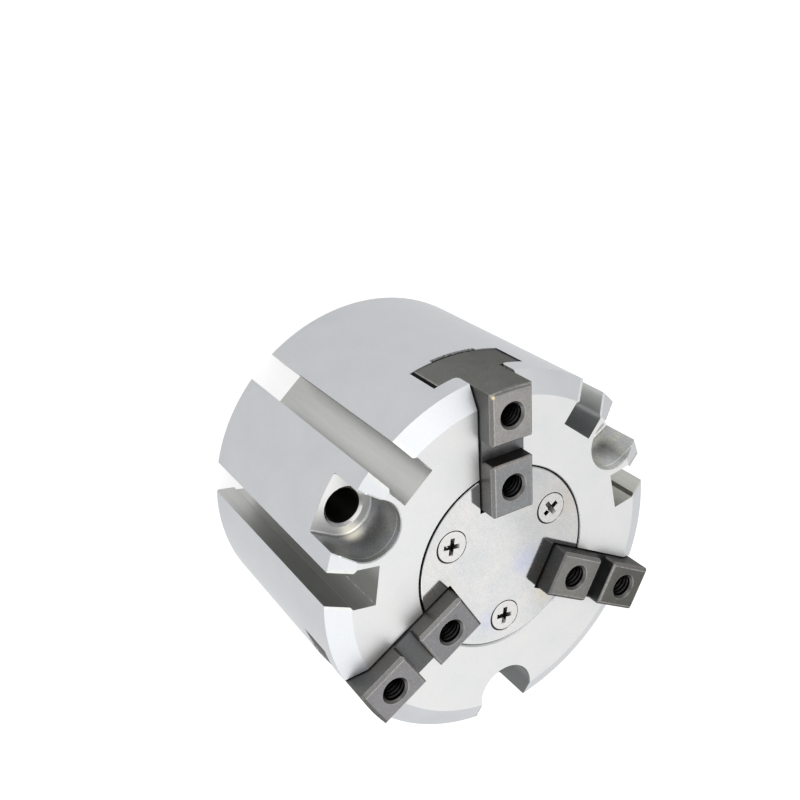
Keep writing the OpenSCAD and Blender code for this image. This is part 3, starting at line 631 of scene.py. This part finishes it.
def turned_finish(name, value, warmth=0.0, roughness=0.3, metallic=1.0):
    """Lathe-turned part: fine rings around the axis, and slight cloudiness."""
    f = Finish(name, Metallic=metallic)
    across = f.node("CombineXYZ", (f.radius(), 0.0, f.parts(f.place)[2])).outputs[0]
    rings = f.noise(0.12 * MM, 3, across)
    cloud = f.noise(5 * MM, 2)
    colour = f.blend(cloud, grey(value * 0.92, warmth), grey(value, warmth))
    colour = f.tint(colour, grey(0.85), rings)
    return f.wear(colour, f.remap(cloud, 0.3, 0.7, roughness * 0.9, roughness * 1.1),
                  f.bump(rings, 0.004 * MM))


def moulded_finish(name, colour, roughness):
    """Rubber, resin, urethane or black oxide with a fine matt grain."""
    f = Finish(name, Metallic=0.0)
    grain = f.noise(0.3 * MM, 3)
    darker = tuple(0.8 * c for c in colour[:3]) + (1,)
    matt = f.remap(grain, 0.3, 0.7, roughness - 0.05, roughness + 0.05)
    return f.wear(f.blend(grain, darker, colour), matt, f.bump(grain, 0.01 * MM))


def dress(node, material):
    """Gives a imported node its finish."""
    slots = NODES[node].data.materials
    slots.clear()
    slots.append(material)


def dress_packed_nodes():
    """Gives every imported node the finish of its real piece."""
    rubber = moulded_finish("nitrile_rubber", grey(0.025), 0.55)
    urethane = moulded_finish("urethane", (0.62, 0.50, 0.26, 1), 0.45)
    screws = screw_finish()
    finishes = {
        "body": body_finish(),
        "cover_plate": plate_finish(),
        "wedge_cam": turned_finish("hardened_cam", 0.22, 0.02, 0.32),
        "piston": turned_finish("turned_piston", 0.68, -0.01, 0.3),
        "piston_bolt": moulded_finish("black_oxide", grey(0.04), 0.4),
        "bolt_washer": turned_finish("plated_washer", 0.7, 0.01, 0.3),
        "magnet_ring": moulded_finish("bonded_magnet", grey(0.06), 0.6),
        "wear_ring": moulded_finish("filled_resin", (0.45, 0.33, 0.16, 1), 0.5),
        "rear_cap": turned_finish("turned_cap", 0.72, -0.01, 0.28),
        "retaining_ring": turned_finish("phosphated_ring", 0.09, 0.02, 0.42, 0.9),
    }
    for node in ("bolt_seal", "piston_seal", "rod_seal", "cap_gasket"):
        finishes[node] = rubber
    for node in ("front_bumper", "rear_bumper"):
        finishes[node] = urethane
    for node in ("cover_screw_a", "cover_screw_b", "cover_screw_c"):
        finishes[node] = screws
    finishes["jaw_a"] = jaw_a_finish()
    finishes["jaw_b"] = jaw_b_finish()
    finishes["jaw_c"] = jaw_c_finish()
    for node, material in finishes.items():
        dress(node, material)


# Screw threads ------------------------------------------------------------------------

def thread(mount, material):
    """Ridge of a screw thread on the wall of a tapped hole.

    The ridge's section, a rounded triangle with its base just inside the wall, is carried
    along a helix about the hole's axis: angle u gives the turn and the advance of one pitch
    a turn, and the section's height grows from nothing and back over the end half turns.
    """
    pitch = 0.8 * MM
    height = 0.2 * MM
    radius = mount["dims"]["r_mm"] * MM
    length = mount["dims"]["length_mm"] * MM - pitch
    axis = Vector(mount["axis"]).normalized()
    across = axis.orthogonal().normalized()
    other = axis.cross(across)
    turns = length / pitch
    steps = int(turns * 40)
    u = np.linspace(0, math.tau * turns, steps)[:, None]
    grow = np.clip(np.minimum(u, u[-1] - u) / math.pi, 0.02, 1)
    inward = np.array([-0.1, -0.1, 0.55, 0.95, 0.95, 0.55])[None, :] * height
    along = np.array([0.42, -0.42, -0.2, -0.06, 0.06, 0.2])[None, :] * pitch
    ring = radius - inward * np.where(inward > 0, grow, 1)
    advance = u / math.tau * pitch - length / 2 + along * grow
    points = (np.array(mount["pos_m"]) + advance[..., None] * np.array(axis)
              + (ring * np.cos(u))[..., None] * np.array(across)
              + (ring * np.sin(u))[..., None] * np.array(other))
    return closed_tube(mount["name"] + "_ridge", points, material)


def closed_tube(name, points, material):
    """Closed mesh from rings of points, shaped (ring, point, 3), with a cap on each end."""
    rings, sides = points.shape[:2]
    i, j = np.meshgrid(np.arange(rings - 1), np.arange(sides), indexing="ij")
    near = i * sides + j
    beside = i * sides + (j + 1) % sides
    quads = np.stack([near, near + sides, beside + sides, beside], axis=-1).reshape(-1, 4)
    faces = quads.tolist()
    faces.append(list(range(sides)))
    faces.append([(rings - 1) * sides + k for k in reversed(range(sides))])
    mesh = bpy.data.meshes.new(name)
    mesh.from_pydata(points.reshape(-1, 3).tolist(), [], faces)
    mesh.materials.append(material)
    mesh.update()
    piece = bpy.data.objects.new(name, mesh)
    bpy.context.scene.collection.objects.link(piece)
    return piece


def thread_finish(name, value):
    """Thread cut in steel or aluminium, speckled, and darkened with painted shade of the hole."""
    f = Finish(name, Metallic=1.0)
    speck = f.noise(0.3 * MM, 3)
    colour = f.blend(f.remap(speck, 0.3, 0.7), grey(value * 0.7), grey(value * 1.3))
    return f.wear(colour, 0.3, f.bump(speck, 0.006 * MM))


def cut_threads():
    """Threads of the six jaw holes and the two air ports."""
    # near-black and dark grey threads: painted shade inside the holes
    steel = thread_finish("shaded_cut_steel", 0.022)
    aluminium = thread_finish("shaded_cut_aluminium", 0.16)
    for name, mount in MOUNTS.items():
        if mount["kind"] != "threaded_hole":
            continue
        on_jaw = name.startswith("jaw")
        piece = thread(mount, steel if on_jaw else aluminium)
        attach(piece, "finger_" + name[4] if on_jaw else "housing")


# Studio -------------------------------------------------------------------------------

def seen_directly(tree):
    """1 for rays from the camera and for mirror and glass rays, else 0."""
    path = tree.nodes.new("ShaderNodeLightPath")
    seen = path.outputs["Is Camera Ray"]
    for name in ("Is Glossy Ray", "Is Transmission Ray"):
        either = tree.nodes.new("ShaderNodeMath")
        either.operation = "MAXIMUM"
        tree.links.new(seen, either.inputs[0])
        tree.links.new(path.outputs[name], either.inputs[1])
        seen = either.outputs[0]
    return seen


def white_world(level):
    """White to look at, and a plain light of the given level on the object."""
    world = bpy.data.worlds.new("studio")
    bpy.context.scene.world = world
    world.use_nodes = True
    tree = world.node_tree
    light = tree.nodes["Background"]
    light.inputs["Color"].default_value = (level, level, level, 1)
    backdrop = tree.nodes.new("ShaderNodeBackground")
    backdrop.inputs["Color"].default_value = (1, 1, 1, 1)
    mix = tree.nodes.new("ShaderNodeMixShader")
    tree.links.new(seen_directly(tree), mix.inputs[0])
    tree.links.new(light.outputs[0], mix.inputs[1])
    tree.links.new(backdrop.outputs[0], mix.inputs[2])
    tree.links.new(mix.outputs[0], tree.nodes["World Output"].inputs["Surface"])


def pale_floor(glow):
    """Pale floor just under the rear face, which takes the gripper's shadow; its glow lifts it to
    white where it is looked at."""
    side = 3.0
    bpy.ops.mesh.primitive_plane_add(size=side, location=(0, 0, packed_low.z - 0.1 * MM))
    floor = bpy.context.object
    floor.name = "floor"
    material = bpy.data.materials.new("pale_floor")
    material.use_nodes = True
    tree = material.node_tree
    shader = tree.nodes["Principled BSDF"]
    shader.inputs["Base Color"].default_value = (0.3, 0.3, 0.3, 1)
    shader.inputs["Roughness"].default_value = 0.9
    shader.inputs["Emission Color"].default_value = (1, 1, 1, 1)
    lift = tree.nodes.new("ShaderNodeMath")
    lift.operation = "MULTIPLY"
    lift.inputs[1].default_value = glow
    tree.links.new(seen_directly(tree), lift.inputs[0])
    tree.links.new(lift.outputs[0], shader.inputs["Emission Strength"])
    floor.data.materials.append(material)


def softbox(name, direction, distance, side, level):
    """Square lamp that looks at the gripper from a direction; level 1 glows as brightly as white paper."""
    data = bpy.data.lights.new(name, "AREA")
    data.size = side
    data.energy = math.pi * side**2 * level
    lamp = bpy.data.objects.new(name, data)
    away = Vector(direction).normalized()
    lamp.location = Vector((0, 0, FRONT / 2)) + away * distance
    lamp.rotation_euler = away.to_track_quat("Z", "Y").to_euler()
    bpy.context.scene.collection.objects.link(lamp)


def camera():
    """Camera above and beside the jaws, rolled so that the gripper's axis leans to the lower right."""
    location = Vector((-94.7, 108.3, 180.5)) * MM
    aim = Vector((-18.6, 48.5, 49.0)) * MM
    roll = math.radians(119.0)
    data = bpy.data.cameras.new("camera")
    data.lens = 47.64
    data.shift_y = -0.0875
    data.clip_start = 0.01
    eye = bpy.data.objects.new("camera", data)
    turn = (aim - location).to_track_quat("-Z", "Y").to_matrix().to_4x4()
    eye.matrix_world = Matrix.Translation(location) @ turn @ Matrix.Rotation(roll, 4, "Z")
    bpy.context.scene.collection.objects.link(eye)
    bpy.context.scene.camera = eye


def studio():
    """Camera, floor, world and lamps."""
    bpy.context.scene.view_settings.view_transform = "Standard"
    camera()
    white_world(0.6)
    pale_floor(0.82)
    softbox("above_jaw_a", (0.0, 0.42, 0.91), 0.6, 0.4, 1.7)
    softbox("above_jaw_c", (0.42, -0.42, 0.80), 0.6, 0.8, 0.36)
    softbox("above_bottom", (0.0, -0.42, 0.91), 0.6, 0.7, 0.42)
    softbox("left_high", (-0.54, -0.54, 0.64), 0.6, 0.6, 0.68)
    softbox("left_low", (-0.68, -0.68, 0.26), 0.6, 0.4, 0.8)
    softbox("back_low", (-0.68, 0.68, 0.26), 0.6, 0.4, 0.7)


dress_packed_nodes()
cut_threads()
studio()
